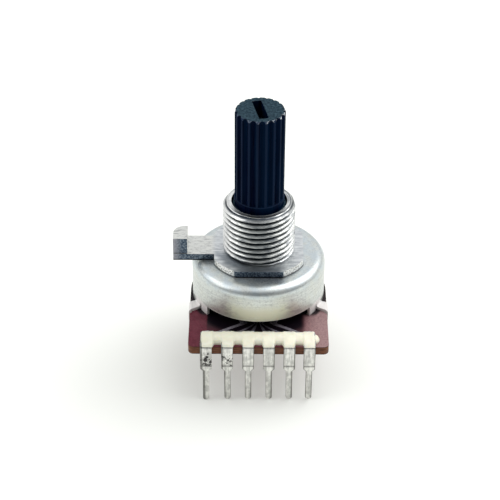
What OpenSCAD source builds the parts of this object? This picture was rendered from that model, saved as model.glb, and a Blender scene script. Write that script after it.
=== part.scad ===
// Dual-track rotary potentiometer with six pins in one row and a threaded panel bushing.
// Millimetres. The origin is on the shaft axis at the flange's panel face: +Z points to the knob,
// -Y to the pins and -X to the locating lug. The rotor is drawn at rest_turn from mid travel.

/* [Shaft] */
// Diameter over the knurl's teeth
knurl_d = 6; // [5.6:0.1:6.4]
// Number of teeth in the knurl
knurl_teeth = 18; // [12:1:24]
// Depth of the knurl's teeth
tooth_depth = 0.3; // [0.1:0.02:0.5]
// Width of the flat left on each tooth's crest
crest_w = 0.2; // [0.1:0.02:0.3]
// Turn of the teeth against the screwdriver slot, in degrees
knurl_turn = -8; // [-10:1:10]
// Height of the shaft's end above the panel face
shaft_reach = 20; // [14:0.5:30]
// Chamfer on the shaft's end, measured across the shaft
end_chamfer = 0.15; // [0.1:0.05:0.4]
// Length of that chamfer, measured along the shaft
end_chamfer_len = 0.3; // [0.1:0.05:0.8]
// Width of the screwdriver slot
slot_w = 1.15; // [0.8:0.05:1.6]
// Length of the screwdriver slot
slot_len = 4.2; // [3:0.1:4.6]
// Depth of the screwdriver slot
slot_depth = 2.4; // [0.5:0.1:3]
// Diameter of the plain journal that turns in the bushing
journal_d = 6.88; // [6.6:0.02:7.2]
// Depth of the journal's end below the bushing's mouth
journal_sink = 0.35; // [0.1:0.05:1]
// Diameter of the plain neck between the journal and the teeth
neck_d = 6.16; // [6.1:0.02:6.6]
// Length of neck that stands out of the bushing
neck_show = 0.75; // [0.3:0.05:2]
// Height of the cone in which the grooves between the teeth run out
cone_h = 0.25; // [0.2:0.05:1]
// Diameter of the thrust collar under the bushing
collar_d = 9.6; // [8.6:0.1:10.4]
// Thickness of the thrust collar
collar_t = 0.8; // [0.5:0.1:1]
// Diameter of the tang that drives the rotor
tang_d = 4.4; // [3.8:0.1:4.6]
// Distance across the tang's two flats
tang_flats = 3.4; // [3.2:0.1:3.7]
// Diameter of the pilot that turns in the wafer
pilot_d = 3; // [2:0.1:3]
// Length of pilot that stands out under the wafer
pilot_show = 0.3; // [0.1:0.1:0.6]
// Turn of the shaft at rest, in degrees from mid travel
rest_turn = 12; // [-150:1:150]

/* [Bushing] */
// Major diameter of the bushing's thread
thread_d = 9; // [8.4:0.1:10]
// Length of the threaded barrel above the panel face
bushing_len = 7; // [5:0.5:10]
// Chamfer at the barrel's mouth
barrel_chamfer = 0.45; // [0.2:0.05:0.6]
// Diameter of the flange's round corners
flange_d = 12.66; // [12:0.1:13.4]
// Distance across the flange's flats
flange_flats = 11.3; // [10.6:0.1:12]
// Thickness of the flange
flange_t = 0.95; // [0.7:0.05:1.4]
// Diameter of the boss that passes through the cover
boss_d = 8.8; // [8.2:0.1:9.4]
// Distance across the boss's flats
boss_flats = 8; // [7.6:0.1:8.2]
// Diameter of the head that is staked over inside the cover
stake_d = 9.8; // [9.4:0.1:10.6]
// Thickness of the staked head
stake_t = 0.4; // [0.3:0.05:0.6]
// Reach of the arm from the shaft axis to its far end
arm_reach = 10.85; // [9.6:0.05:13]
// Width of the arm
arm_w = 4.1; // [3.2:0.1:5]
// Shift of the arm's centre line to the rear
arm_shift = 0.15; // [-0.5:0.05:0.5]
// Height of the locating lug above the panel face
lug_h = 2.2; // [1:0.1:3.5]
// Thickness of the locating lug, measured along the arm
lug_t = 1.8; // [1.2:0.1:2.4]
// Width of the locating lug, measured across the arm
lug_w = 2.95; // [2.6:0.05:3.2]
// Radius of the lug's outer rear corner
lug_corner = 1.1; // [0.5:0.1:1.1]

/* [Cover] */
// Outside diameter of the cup
cover_d = 17; // [16.4:0.1:17.2]
// Height of the cup from the wafer to the flange's underside
cover_h = 6; // [5.8:0.1:8]
// Thickness of the cover's sheet
cover_t = 0.4; // [0.3:0.02:0.5]
// Outside radius of the cup's shoulder
shoulder_r = 1.2; // [0.8:0.1:1.4]
// Angle of the front window, seen from above
window_angle = 100; // [60:2:104]
// Height of the front window above the wafer
window_h = 1.3; // [0.8:0.1:1.6]
// Angle of each leg beside the window
leg_angle = 9; // [6:1:9]
// Width of the slits between legs and tabs
slit_w = 0.25; // [0.15:0.05:0.3]
// Height of the slits above the wafer
slit_h = 0.9; // [0.5:0.05:1.2]
// Angle that each front tab takes up on the cup
tab_angle = 10; // [6:1:12]
// Length of tab that is folded under the wafer
tab_fold = 1.2; // [0.6:0.1:1.6]
// Angle that each rear tab takes up on the cup
rear_tab_angle = 14; // [8:1:20]
// Angle between the two rear tabs' middles
rear_tab_spread = 80; // [60:2:100]

/* [Wafer] */
// Width of the wafer, and the diameter of its round rear end
wafer_w = 17.5; // [17.3:0.1:19]
// Distance from the shaft axis to the wafer's front edge
wafer_front = 11.9; // [11.4:0.1:13]
// Thickness of the wafer
wafer_t = 1.15; // [0.8:0.05:1.6]
// Radius of the wafer's front corners
wafer_corner = 0.7; // [0.3:0.1:1.5]

/* [Terminals] */
// Distance between neighbouring pins
pin_pitch = 2.54; // [2.4:0.02:2.6]
// Thickness of the terminals' strip
strip_t = 0.4; // [0.3:0.05:0.5]
// Inside radius of the bend over the wafer's edge
bend_r = 0.25; // [0.1:0.05:0.4]
// Width of the terminals at the wafer
head_w = 1.45; // [1.2:0.05:1.6]
// Length of the terminals' heads on top of the wafer
head_len = 2.4; // [2.3:0.1:2.8]
// Drop from the wafer's top to the shoulders
shoulder_drop = 3.2; // [2:0.1:4]
// Width of the narrow pins
pin_w = 0.8; // [0.5:0.05:1]
// Drop from the wafer's top to the pins' ends
pin_drop = 8; // [6:0.5:12]
// Diameter of the rivets' shanks
rivet_d = 0.9; // [0.7:0.05:1]
// Diameter of the rivets' heads
rivet_head_d = 1.4; // [1.2:0.05:1.6]
// Height of the rivets' heads
rivet_head_h = 0.25; // [0.15:0.05:0.3]

/* [Resin] */
// Height of the resin strip above the wafer
resin_h = 0.85; // [0.8:0.05:1.2]
// Depth of the resin strip from the wafer's front edge
resin_depth = 2.5; // [2.45:0.05:3]
// Length of resin that stands past the outer terminals' sides
resin_over = 0.3; // [0.1:0.05:0.6]
// Radius of the strip's long upper edges
resin_round = 0.5; // [0.2:0.05:0.6]
// Height of the swelling over each terminal's head
resin_swell = 0.12; // [0.05:0.01:0.2]
// Thickness of the resin that runs over the terminals' bends
resin_skin = 0.12; // [0.08:0.02:0.2]
// Distance that it runs down in front of the bends, below the terminals' tops
resin_run = 0.25; // [0.1:0.05:0.4]

/* [Tracks] */
// Thickness of the printed tracks
track_t = 0.05; // [0.02:0.01:0.08]
// Mean radius of the outer resistive track
outer_track_r = 6.45; // [6.4:0.05:6.6]
// Mean radius of the outer collector ring
outer_ring_r = 5.2; // [5:0.05:5.3]
// Mean radius of the inner collector ring
inner_ring_r = 4.2; // [4:0.05:4.3]
// Mean radius of the inner resistive track
inner_track_r = 2.85; // [2.75:0.05:2.9]
// Width of the resistive tracks
track_w = 0.9; // [0.6:0.05:1]
// Width of the collector rings
ring_w = 0.5; // [0.4:0.05:0.6]
// Width of the printed leads
lead_w = 0.6; // [0.3:0.05:0.6]

/* [Rotor] */
// Electrical and mechanical travel of the shaft, in degrees
travel = 300; // [240:5:310]
// Diameter of the rotor's plate
rotor_d = 14; // [13.8:0.1:14.2]
// Thickness of the rotor's plate
rotor_t = 1.2; // [0.8:0.1:1.4]
// Diameter over the rotor's stop lug
stop_lug_d = 15.6; // [15.2:0.1:15.8]
// Half of the angle that the stop lug takes up
stop_lug_half = 15; // [8:1:18]
// Thickness of the thrust washer
washer_t = 0.25; // [0.15:0.05:0.3]
// Thickness of the wipers' spring strip
wiper_t = 0.2; // [0.15:0.05:0.25]
// Length of the wipers' sprung fingers
finger_len = 1.9; // [1.6:0.1:2]

/* [Clearances] */
// Radial running clearance of the journal and the pilot
run_gap = 0.06; // [0.02:0.01:0.08]
// Axial play of the shaft
end_play = 0.05; // [0.02:0.01:0.1]
// Clearance between parts that are fitted and staked together
seat_gap = 0.02; // [0.01:0.01:0.05]
// Clearance between the terminals and the wafer's front edge
edge_gap = 0.05; // [0.02:0.01:0.1]
// Clearance between the wipers' contacts and the tracks
contact_gap = 0.05; // [0.03:0.01:0.1]
// Radial clearance between the rotor and the cover's stop
stop_gap = 0.35; // [0.2:0.05:0.4]

/* [Hidden] */
$fn = 96;

// Length by which cutting bodies run past the faces that they cut
past = 0.3;
// Direction of the terminals, and of the middle of the tracks' gap
front = -90;
// Number of terminals in the row
pin_count = 6;

// Heights, from the top down
journal_top = bushing_len - journal_sink;
neck_top = bushing_len + neck_show;
cover_top = -flange_t;
cover_ceiling = cover_top - cover_t;
stake_bottom = cover_ceiling - stake_t;
washer_top = stake_bottom - end_play;
collar_top = washer_top - washer_t;
rotor_top = collar_top - collar_t;
plate_bottom = rotor_top - rotor_t;
wafer_top = cover_top - cover_h;
wafer_bottom = wafer_top - wafer_t;
track_top = wafer_top + track_t;
contact_z = track_top + contact_gap;
anchor_z = contact_z + wiper_t + 0.9 * finger_len;
hub_bottom = anchor_z - 0.1;
head_top = track_top + strip_t;

// Radii and places in plan
tip_r = knurl_d / 2;
root_r = tip_r - tooth_depth;
journal_r = journal_d / 2;
neck_r = neck_d / 2;
bore_r = journal_r + run_gap;
cover_r = cover_d / 2;
cover_inner_r = cover_r - cover_t;
mid_wall_r = cover_r - cover_t / 2;
rotor_r = rotor_d / 2;
stop_r = rotor_r + stop_gap;
pilot_hole_r = pilot_d / 2 + run_gap;
hub_r = tang_d / 2 + 0.6;
rivet_y = -wafer_front + head_len / 2 + 0.4;
terminal_face_y = -wafer_front - edge_gap - strip_t;
tab_seat_depth = 0.3;
tab_face_x = wafer_w / 2 - tab_seat_depth + seat_gap + cover_t;

// Angles, measured from the front
stop_play = 0.5;
stop_half = 180 - travel / 2 - stop_lug_half - stop_play;
slit_at = window_angle / 2 + leg_angle + 1;
rear_tab_at = 180 - rear_tab_spread / 2;

// Lateral place of terminal i, counted from the left
function pin_x(i) = (i - (pin_count + 1) / 2) * pin_pitch;
// Point at radius r, a degrees to the right of the front
function at(r, a) = [r * cos(front + a), r * sin(front + a)];

// Solid between two radii and two heights, half degrees to either side of the middle
module ring_sector(r0, r1, z0, z1, middle, half) {
    rotate([0, 0, front + middle - half])
        rotate_extrude(angle = 2 * half)
            translate([r0, z0]) square([r1 - r0, z1 - z0]);
}

// Round bar cut by two flats that face left and right
module flatted_bar(d, flats, z0, z1) {
    intersection() {
        translate([0, 0, z0]) cylinder(d = d, h = z1 - z0);
        translate([-flats / 2, -d, z0 - past]) cube([flats, 2 * d, z1 - z0 + 2 * past]);
    }
}

// Places what turns with the shaft
module at_rest() {
    rotate([0, 0, rest_turn]) children();
}

// Cross-section of the knurl: straight teeth with a narrow flat on each crest
module knurl_section() {
    tooth = 360 / knurl_teeth;
    crest = asin(crest_w / 2 / tip_r);
    polygon([
        for (i = [0 : knurl_teeth - 1], corner = [[-crest, tip_r], [crest, tip_r], [tooth / 2, root_r]])
            let (a = knurl_turn + i * tooth + corner[0]) corner[1] * [cos(a), sin(a)]
    ]);
}

module shaft() {
    seat_low = neck_top - past;
    seat_len = shaft_reach - seat_low;
    chamfer_slope = end_chamfer_len / end_chamfer;
    core_r = root_r - past;
    runout_h = cone_h * (neck_r - core_r) / (neck_r - root_r);
    journal_edge = 0.1;
    color("#0b1222") at_rest() difference() {
        union() {
            // Knurled seat with a chamfered end
            translate([0, 0, seat_low]) intersection() {
                linear_extrude(seat_len) knurl_section();
                rotate_extrude() polygon([
                    [0, 0], [tip_r + past, 0],
                    [tip_r + past, seat_len - end_chamfer_len - past * chamfer_slope],
                    [tip_r - end_chamfer, seat_len], [0, seat_len]
                ]);
            }
            // Cone in which the grooves run out, neck, journal and thrust collar
            rotate_extrude() polygon([
                [0, neck_top + runout_h], [core_r, neck_top + runout_h],
                [neck_r, neck_top], [neck_r, journal_top],
                [journal_r - journal_edge, journal_top], [journal_r, journal_top - journal_edge],
                [journal_r, collar_top], [collar_d / 2, collar_top], [collar_d / 2, rotor_top], [0, rotor_top]
            ]);
            // Driving tang and pilot
            flatted_bar(tang_d, tang_flats, hub_bottom, rotor_top + past);
            translate([0, 0, wafer_bottom - pilot_show])
                cylinder(d = pilot_d, h = rotor_top - wafer_bottom + pilot_show);
        }
        // Screwdriver slot
        translate([-slot_w / 2, -slot_len / 2, shaft_reach - slot_depth])
            cube([slot_w, slot_len, slot_depth + past]);
    }
}

// Outline of the plate that anchors a wiper for tracks at radii r0 and r1
module anchor_outline(r0, r1) {
    anchor_len = 1.3;
    margin = 0.4;
    intersection() {
        translate([-finger_len - anchor_len, r0 - margin]) square([anchor_len, r1 - r0 + 2 * margin]);
        circle(r = rotor_r - stop_gap / 5);
    }
}

// Places of the two stakes that hold an anchor plate
module at_stakes(r0, r1) {
    for (share = [0.2, 0.75])
        translate([-finger_len - 0.65, r0 + share * (r1 - r0), 0]) children();
}

module rotor() {
    stake_r = 0.28;
    stake_head_r = 0.45;
    stake_head_h = 0.2;
    color("#6b5a44") at_rest() difference() {
        union() {
            translate([0, 0, plate_bottom]) cylinder(r = rotor_r, h = rotor_t);
            translate([0, 0, hub_bottom]) cylinder(r = hub_r, h = rotor_top - hub_bottom);
            ring_sector(rotor_r - 1, stop_lug_d / 2, plate_bottom, rotor_top, 0, stop_lug_half);
            for (pair = [[inner_track_r, inner_ring_r], [outer_ring_r, outer_track_r]]) {
                translate([0, 0, anchor_z])
                    linear_extrude(plate_bottom - anchor_z + past) anchor_outline(pair[0], pair[1]);
                // Stakes, with their heads spread under the anchor plate
                at_stakes(pair[0], pair[1]) {
                    translate([0, 0, anchor_z - wiper_t - stake_head_h])
                        cylinder(r = stake_r, h = wiper_t + stake_head_h + past);
                    translate([0, 0, anchor_z - wiper_t - stake_head_h])
                        cylinder(r = stake_head_r, h = stake_head_h);
                }
            }
        }
        flatted_bar(tang_d + 2 * seat_gap, tang_flats + 2 * seat_gap, hub_bottom - past, rotor_top + past);
    }
}

// Spring strip with a pair of sprung tines on each of the tracks at radii r0 and r1
module wiper(r0, r1) {
    stake_hole_r = 0.3;
    tine_w = 0.2;
    tine_gap = 0.1;
    toe = 0.3;
    color("#c9a860") at_rest() difference() {
        union() {
            translate([0, 0, anchor_z - wiper_t]) linear_extrude(wiper_t) anchor_outline(r0, r1);
            for (r = [r0, r1], side = [-1, 1])
                translate([0, r + side * (tine_w + tine_gap) / 2 + tine_w / 2, 0])
                    rotate([90, 0, 0]) linear_extrude(tine_w) polygon([
                        [-finger_len - toe, anchor_z - wiper_t], [-finger_len, anchor_z - wiper_t],
                        [-toe, contact_z], [0, contact_z], [toe, contact_z + toe / 2],
                        [toe, contact_z + toe / 2 + wiper_t], [0, contact_z + wiper_t],
                        [-toe, contact_z + wiper_t], [-finger_len, anchor_z], [-finger_len - toe, anchor_z]
                    ]);
        }
        at_stakes(r0, r1)
            translate([0, 0, anchor_z - wiper_t - past]) cylinder(r = stake_hole_r, h = wiper_t + 2 * past);
    }
}

module wiper_outer() {
    wiper(outer_ring_r, outer_track_r);
}

module wiper_inner() {
    wiper(inner_track_r, inner_ring_r);
}

module thrust_washer() {
    color("#d8d2bf") difference() {
        translate([0, 0, collar_top]) cylinder(r = collar_d / 2, h = washer_t);
        translate([0, 0, collar_top - past]) cylinder(r = bore_r, h = washer_t + 2 * past);
    }
}

module bushing() {
    arm_rear = arm_shift + arm_w / 2;
    arm_front = arm_shift - arm_w / 2;
    lug_front = arm_front + 0.15;
    color("#b9bcbe") difference() {
        union() {
            // Threaded barrel, drawn smooth at the thread's major diameter
            rotate_extrude() polygon([
                [0, 0], [thread_d / 2, 0], [thread_d / 2, bushing_len - barrel_chamfer],
                [thread_d / 2 - barrel_chamfer, bushing_len], [0, bushing_len]
            ]);
            // Flange with four flats
            intersection() {
                translate([0, 0, -flange_t]) cylinder(d = flange_d, h = flange_t);
                translate([-flange_flats / 2, -flange_flats / 2, -flange_t - past])
                    cube([flange_flats, flange_flats, flange_t + 2 * past]);
            }
            // Arm, with the locating lug at its end
            translate([-arm_reach, arm_front, -flange_t]) cube([arm_reach, arm_w, flange_t]);
            translate([-arm_reach, lug_front, -flange_t]) linear_extrude(flange_t + lug_h) difference() {
                square([lug_t, lug_w]);
                translate([0, lug_w - lug_corner]) difference() {
                    translate([-past, 0]) square([lug_corner + past, lug_corner + past]);
                    translate([lug_corner, 0]) circle(r = lug_corner);
                }
            }
            // Boss through the cover, and the head that is staked over inside it
            flatted_bar(boss_d, boss_flats, cover_ceiling, -flange_t + past);
            translate([0, 0, stake_bottom]) cylinder(d = stake_d, h = stake_t);
        }
        translate([0, 0, stake_bottom - past])
            cylinder(r = bore_r, h = bushing_len - stake_bottom + 2 * past);
    }
}

// Half section of a solid cup of radius r and height h above the wafer
module cup_section(r, h, round_r) {
    square([r - round_r, h]);
    square([r, h - round_r]);
    translate([r - round_r, h - round_r]) circle(r = round_r);
}

// Front tab, flared out over the wafer and folded round its straight side; side is -1 left or 1 right
module front_tab(side) {
    flare_r = 0.25;
    reach = wafer_w;
    outer_round = 0.35;
    half = tab_angle / 2;
    middle = side * (slit_at + half);
    // Flare between the cup's wall and the shelf
    rotate([0, 0, front + middle - half]) rotate_extrude(angle = tab_angle) difference() {
        translate([mid_wall_r, wafer_top]) square([cover_t / 2 + flare_r, cover_t + flare_r]);
        translate([cover_r + flare_r, wafer_top + cover_t + flare_r]) circle(r = flare_r);
    }
    intersection() {
        ring_sector(mid_wall_r, reach, wafer_bottom - cover_t - past, wafer_top + cover_t + past,
            middle, half);
        mirror([side < 0 ? 1 : 0, 0, 0]) rotate([90, 0, 0])
            linear_extrude(wafer_w, center = true) difference() {
                union() {
                    translate([0, wafer_bottom - cover_t]) square([
                        tab_face_x - outer_round, wafer_t + 2 * cover_t
                    ]);
                    translate([0, wafer_bottom - cover_t + outer_round]) square([
                        tab_face_x, wafer_t + 2 * cover_t - 2 * outer_round
                    ]);
                    for (z = [wafer_bottom - cover_t + outer_round, wafer_top + cover_t - outer_round])
                        translate([tab_face_x - outer_round, z]) circle(r = outer_round);
                }
                translate([-past, wafer_bottom]) square([tab_face_x - cover_t + past, wafer_t]);
                translate([-past, wafer_bottom - cover_t - past])
                    square([tab_face_x - tab_fold + past, cover_t + 2 * past]);
            }
    }
}

// Rear tab, straight down through a notch in the wafer's rim and folded under it
module rear_tab(side) {
    outer_round = 0.35;
    tab_r = cover_r - seat_gap;
    rotate([0, 0, front + side * rear_tab_at - rear_tab_angle / 2]) rotate_extrude(angle = rear_tab_angle)
        difference() {
            union() {
                translate([tab_r - tab_fold, wafer_bottom - cover_t])
                    square([tab_fold - outer_round, wafer_t + cover_t + past]);
                translate([tab_r - tab_fold, wafer_bottom - cover_t + outer_round])
                    square([tab_fold, wafer_t + cover_t - outer_round + past]);
                translate([tab_r - outer_round, wafer_bottom - cover_t + outer_round])
                    circle(r = outer_round);
            }
            translate([tab_r - tab_fold - past, wafer_bottom])
                square([tab_fold - cover_t + 2 * seat_gap + past, wafer_t + 2 * past]);
        }
}

// Pocket pressed into the rear wall, which stops the rotor's lug; outset moves its faces outwards
module stop_pocket(r0, r1, inset) {
    ring_sector(r0, r1, plate_bottom - 0.2 + inset, rotor_top + 0.2 - inset, 180, stop_half - 4 * inset);
}

module cover() {
    color("#c8cbc9") difference() {
        union() {
            translate([0, 0, wafer_top]) rotate_extrude() difference() {
                cup_section(cover_r, cover_h, shoulder_r);
                translate([0, -past])
                    cup_section(cover_inner_r, cover_h - cover_t + past, shoulder_r - cover_t);
            }
            stop_pocket(stop_r, mid_wall_r, 0);
            for (side = [-1, 1]) {
                front_tab(side);
                rear_tab(side);
            }
        }
        stop_pocket(stop_r + cover_t, cover_r + past, cover_t);
        // Hole for the bushing's boss
        flatted_bar(boss_d + 2 * seat_gap, boss_flats + 2 * seat_gap, cover_ceiling - past, cover_top + past);
        // Front window, and the slits that free its legs from the tabs
        ring_sector(cover_inner_r - past, cover_r + past, wafer_top - past, wafer_top + window_h,
            0, window_angle / 2);
        for (side = [-1, 1]) rotate([0, 0, front + side * slit_at])
            translate([cover_inner_r - past, -slit_w / 2, wafer_bottom - cover_t - past])
                cube([cover_r, slit_w, slit_h + wafer_t + cover_t + past]);
    }
}

// Wafer's outline: straight sides, round rear end and rounded front corners
module wafer_outline() {
    circle(d = wafer_w);
    translate([-wafer_w / 2, -wafer_front + wafer_corner]) square([wafer_w, wafer_front - wafer_corner]);
    translate([-wafer_w / 2 + wafer_corner, -wafer_front]) square([wafer_w - 2 * wafer_corner, wafer_front]);
    for (side = [-1, 1])
        translate([side * (wafer_w / 2 - wafer_corner), -wafer_front + wafer_corner])
            circle(r = wafer_corner);
}

module at_rivets() {
    for (i = [1 : pin_count]) translate([pin_x(i), rivet_y, 0]) children();
}

module rivet_holes(z0, z1) {
    at_rivets() translate([0, 0, z0]) cylinder(r = rivet_d / 2 + seat_gap, h = z1 - z0);
}

module wafer() {
    notch_gap = 0.4;
    color("#6a3440") difference() {
        translate([0, 0, wafer_bottom]) linear_extrude(wafer_t) wafer_outline();
        translate([0, 0, wafer_bottom - past]) cylinder(r = pilot_hole_r, h = wafer_t + 2 * past);
        rivet_holes(wafer_bottom - past, wafer_top + past);
        for (side = [-1, 1]) {
            // Seats for the front tabs in the straight sides
            intersection() {
                ring_sector(cover_inner_r, wafer_w, wafer_bottom - past, wafer_top + past,
                    side * (slit_at + tab_angle / 2), tab_angle / 2 + notch_gap);
                mirror([side < 0 ? 1 : 0, 0, 0])
                    translate([wafer_w / 2 - tab_seat_depth, -wafer_w, wafer_bottom - 2 * past])
                        cube([wafer_w / 2, wafer_w, wafer_t + 4 * past]);
            }
            // Notches for the rear tabs in the round rim
            ring_sector(cover_inner_r - seat_gap, wafer_w / 2 + past, wafer_bottom - past, wafer_top + past,
                side * rear_tab_at, rear_tab_angle / 2 + notch_gap);
        }
    }
}

// Terminal i: head on the wafer, bend over its front edge, shoulders and narrow pin
module terminal(i) {
    bend_y = terminal_face_y + strip_t + bend_r;
    bend_z = head_top - strip_t - bend_r;
    shoulder_z = wafer_top - shoulder_drop;
    taper = (head_w - pin_w) / 2;
    tip_z = wafer_top - pin_drop;
    color("#c4c5c0") translate([pin_x(i), 0, 0]) difference() {
        intersection() {
            // Side view
            rotate([90, 0, 90]) linear_extrude(head_w + past, center = true) {
                translate([terminal_face_y, tip_z]) square([strip_t, bend_z - tip_z]);
                translate([bend_y, track_top]) square([-wafer_front + head_len - bend_y, strip_t]);
                translate([bend_y, bend_z]) difference() {
                    circle(r = bend_r + strip_t);
                    circle(r = bend_r);
                    translate([0, -strip_t - bend_r - past]) square(2 * (strip_t + bend_r + past));
                    translate([-strip_t - bend_r - past, -strip_t - bend_r - past])
                        square([2 * (strip_t + bend_r + past), strip_t + bend_r + past]);
                }
            }
            // Front view, with the pin's end round
            rotate([90, 0, 0]) linear_extrude(past - terminal_face_y) {
                polygon([
                    [-head_w / 2, head_top + past], [-head_w / 2, shoulder_z],
                    [-pin_w / 2, shoulder_z - taper], [-pin_w / 2, tip_z + pin_w / 2],
                    [pin_w / 2, tip_z + pin_w / 2], [pin_w / 2, shoulder_z - taper],
                    [head_w / 2, shoulder_z], [head_w / 2, head_top + past]
                ]);
                translate([0, tip_z + pin_w / 2]) circle(d = pin_w);
            }
        }
        translate([0, rivet_y, wafer_top - past])
            cylinder(r = rivet_d / 2 + seat_gap, h = strip_t + 3 * past);
    }
}

// Six rivets, each with a flat head above the terminal and one under the wafer
module terminal_rivets() {
    color("#d0cfc6") at_rivets() {
        translate([0, 0, wafer_bottom - rivet_head_h])
            cylinder(d = rivet_d, h = head_top - wafer_bottom + 2 * rivet_head_h);
        for (z = [wafer_bottom - rivet_head_h, head_top])
            translate([0, 0, z]) cylinder(d = rivet_head_d, h = rivet_head_h);
    }
}

// Resin strip, cast over the heads, the rivets and the ends of the leads
module resin_strip() {
    half_len = pin_x(pin_count) + head_w / 2 + resin_over;
    rear_y = -wafer_front + resin_depth;
    swell_r = 2.4;
    run = 0.5;
    bend_y = terminal_face_y + strip_t + bend_r;
    bend_z = head_top - strip_t - bend_r;
    color("#ece8d6") difference() {
        union() {
            // Strip, with a short run of resin at its right end
            intersection() {
                translate([-half_len, 0, 0]) rotate([90, 0, 90]) linear_extrude(2 * half_len + run) union() {
                    translate([-wafer_front, wafer_top - resin_round]) square([resin_depth, resin_h]);
                    translate([-wafer_front + resin_round, wafer_top])
                        square([resin_depth - 2 * resin_round, resin_h]);
                    for (y = [-wafer_front + resin_round, rear_y - resin_round])
                        translate([y, wafer_top + resin_h - resin_round]) circle(r = resin_round);
                }
                translate([0, 0, wafer_top]) linear_extrude(resin_h + past) polygon([
                    [-half_len, -wafer_front - past],
                    [-half_len, rear_y - run], [-half_len + run, rear_y + past],
                    [half_len - run, rear_y + past], [half_len, rear_y - run],
                    [half_len + run, rear_y - resin_depth / 2], [half_len, -wafer_front + run],
                    [half_len, -wafer_front - past]
                ]);
            }
            // Runs over the bends
            for (i = [1 : pin_count]) intersection() {
                translate([pin_x(i) - head_w / 2 - resin_skin, bend_y, bend_z])
                    rotate([90, 0, 90])
                        cylinder(r = bend_r + strip_t + resin_skin, h = head_w + 2 * resin_skin);
                translate([pin_x(i) - head_w, bend_y - 2 * strip_t - bend_r, head_top - resin_run])
                    cube([2 * head_w, 2 * strip_t + bend_r + past, resin_h]);
            }
            // Swellings over the heads
            intersection() {
                at_rivets() translate([0, 0, wafer_top + resin_h + resin_swell - swell_r])
                    sphere(r = swell_r);
                translate([-half_len, -wafer_front + past, wafer_top + resin_h - resin_round])
                    cube([2 * half_len, resin_depth - 2 * past, 2 * resin_round]);
            }
        }
        for (i = [1 : pin_count]) terminal(i);
        terminal_rivets();
        rivet_holes(wafer_top - past, head_top);
        outer_resistive_track();
        outer_collector_track();
        inner_collector_track();
        inner_resistive_track();
    }
}

// Printed ring of mean radius r and width w, open from angle open_left to angle open_right
module printed_ring(r, w, open_left, open_right) {
    rotate([0, 0, front + open_right])
        rotate_extrude(angle = 360 - open_left - open_right)
            translate([r - w / 2, wafer_top]) square([w, track_t]);
}

// Printed lead of round-cornered segments through the points
module printed_lead(points) {
    translate([0, 0, wafer_top]) {
        for (k = [1 : len(points) - 1]) {
            run = points[k] - points[k - 1];
            translate(points[k - 1]) rotate([0, 0, atan2(run[1], run[0])])
                translate([0, -lead_w / 2, 0]) cube([norm(run), lead_w, track_t]);
            translate(points[k]) cylinder(d = lead_w, h = track_t);
        }
    }
}

// Pad under terminal i
module pad(i) {
    translate([pin_x(i), rivet_y, wafer_top]) cylinder(d = rivet_head_d, h = track_t);
}

// Track colour, and the rivets' holes through its pads
module printed(shade) {
    color(shade) difference() {
        children();
        rivet_holes(wafer_top - past, track_top + past);
    }
}

// Where the leads fan out in front of the rings, and the inner leads' distance from the middle
fan_y = -outer_track_r - 0.45;
inner_lead_x = 0.75;
middle_lead_x = 1.9;

module outer_resistive_track() {
    open = 26;
    printed("#1d1a1e") {
        printed_ring(outer_track_r, track_w, open, open);
        for (side = [-1, 1]) {
            i = side < 0 ? 1 : pin_count;
            printed_lead([at(outer_track_r, side * (open + 2)), [pin_x(i), rivet_y]]);
            pad(i);
        }
    }
}

module outer_collector_track() {
    printed("#24242a") {
        printed_ring(outer_ring_r, ring_w, 20, 28.5);
        printed_lead([at(outer_ring_r, -22), [-middle_lead_x, fan_y], [pin_x(2), rivet_y]]);
        pad(2);
    }
}

module inner_collector_track() {
    printed("#24242a") {
        printed_ring(inner_ring_r, ring_w, 20, 20);
        printed_lead([at(inner_ring_r, 22), [middle_lead_x, fan_y], [pin_x(5), rivet_y]]);
        pad(5);
    }
}

module inner_resistive_track() {
    open = 28;
    printed("#1d1a1e") {
        printed_ring(inner_track_r, track_w, open, open);
        for (side = [-1, 1]) {
            i = side < 0 ? 3 : 4;
            printed_lead([
                at(inner_track_r, side * (open + 2)), [side * inner_lead_x, -inner_ring_r + 0.4],
                [side * inner_lead_x, fan_y], [pin_x(i), rivet_y]
            ]);
            pad(i);
        }
    }
}

shaft();
rotor();
wiper_outer();
wiper_inner();
thrust_washer();
bushing();
cover();
wafer();
terminal(1);  // terminal_1
terminal(2);  // terminal_2
terminal(3);  // terminal_3
terminal(4);  // terminal_4
terminal(5);  // terminal_5
terminal(6);  // terminal_6
terminal_rivets();
resin_strip();
outer_resistive_track();
outer_collector_track();
inner_collector_track();
inner_resistive_track();
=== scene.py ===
"""Looks of the rotary potentiometer: studio, materials and the forms that the CAD solids leave plain.

Lengths in the code are millimetres on the part's own frame, and become metres where a mesh is made.
The shaft turns round Z, the mounting face is at height 0 and the terminals stand in front, towards -Y.
"""

import math

import bmesh
import bpy
from mathutils import Matrix, Vector, noise


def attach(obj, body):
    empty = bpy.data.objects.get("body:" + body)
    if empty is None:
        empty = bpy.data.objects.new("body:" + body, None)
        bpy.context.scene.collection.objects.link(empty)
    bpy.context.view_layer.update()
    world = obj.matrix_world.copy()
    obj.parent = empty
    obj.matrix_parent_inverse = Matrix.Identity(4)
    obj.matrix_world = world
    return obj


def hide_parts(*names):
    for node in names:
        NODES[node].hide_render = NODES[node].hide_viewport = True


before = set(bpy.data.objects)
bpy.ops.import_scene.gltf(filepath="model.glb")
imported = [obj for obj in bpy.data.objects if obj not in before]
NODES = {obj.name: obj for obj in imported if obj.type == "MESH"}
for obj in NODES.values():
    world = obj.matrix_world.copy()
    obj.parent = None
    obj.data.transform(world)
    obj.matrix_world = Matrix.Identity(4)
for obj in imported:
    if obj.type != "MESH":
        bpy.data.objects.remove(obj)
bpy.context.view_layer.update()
MM = 0.001

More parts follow.
